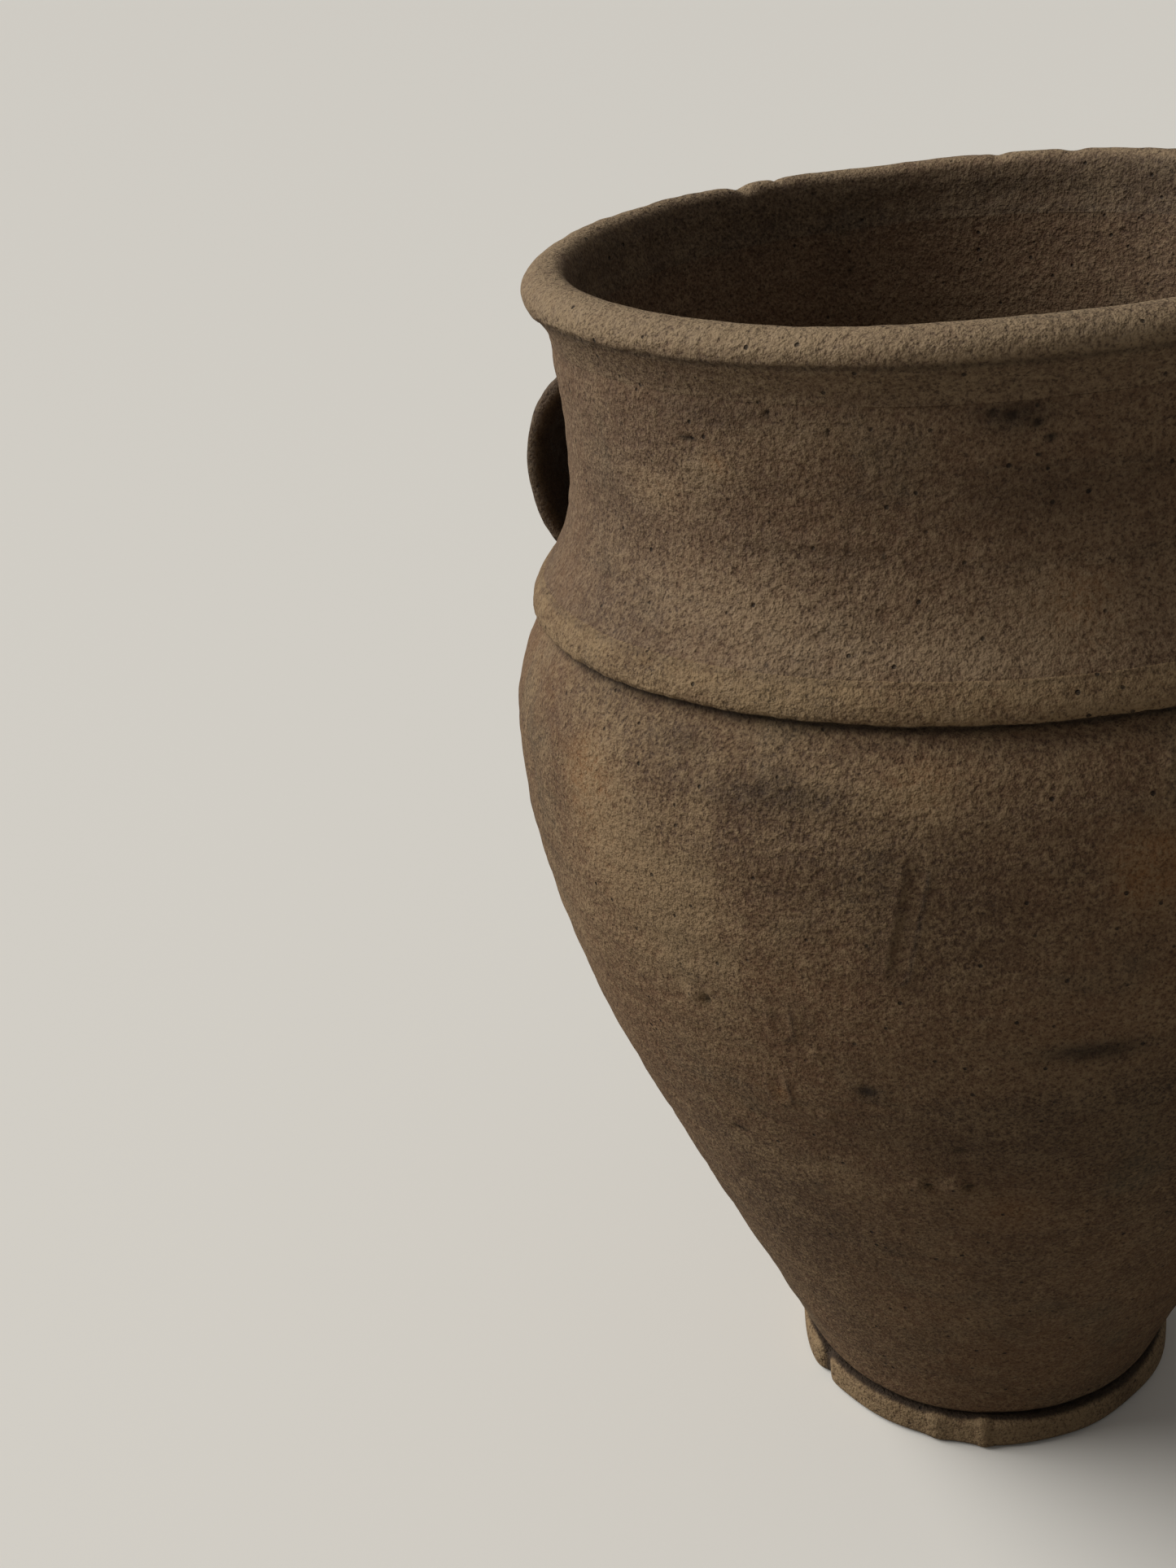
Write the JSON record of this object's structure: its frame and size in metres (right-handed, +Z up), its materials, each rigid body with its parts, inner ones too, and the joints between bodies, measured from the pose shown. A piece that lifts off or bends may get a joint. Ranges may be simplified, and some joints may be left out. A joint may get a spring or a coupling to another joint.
{
  "type": "olive jar",
  "caption": "Large hand-thrown earthenware storage jar with a tapering body, wide collared neck, rolled rim and small strap loop handles.",
  "frame": {"origin": "middle of the foot's underside, on the surface that the jar stands on", "axes": "+Z up the jar's axis, -Y to the front that the picture shows, X through both handles with handle_left on -X"},
  "size_m": [0.314, 0.2986, 0.42],
  "materials": {
    "foot_clay": "unglazed, smoke-darkened, rubbed at the edge",
    "cone_clay": "unglazed, smoke-darkened, sandy",
    "belly_clay": "unglazed, smoke-darkened, sandy",
    "band_clay": "unglazed, wiped and chipped",
    "neck_clay": "unglazed, smoke-darkened, pitted",
    "rim_clay": "unglazed, rubbed pale on top",
    "left_handle_clay": "unglazed, dark, rough with finger marks inside",
    "right_handle_clay": "unglazed, dark, rough with finger marks inside"
  },
  "bodies": {
    "root": {"foot": "foot_clay", "lower_body": "cone_clay", "upper_body": "belly_clay", "shoulder_band": "band_clay", "neck": "neck_clay", "rim": "rim_clay", "handle_left": "left_handle_clay", "handle_right": "right_handle_clay"}
  },
  "joints": []
}
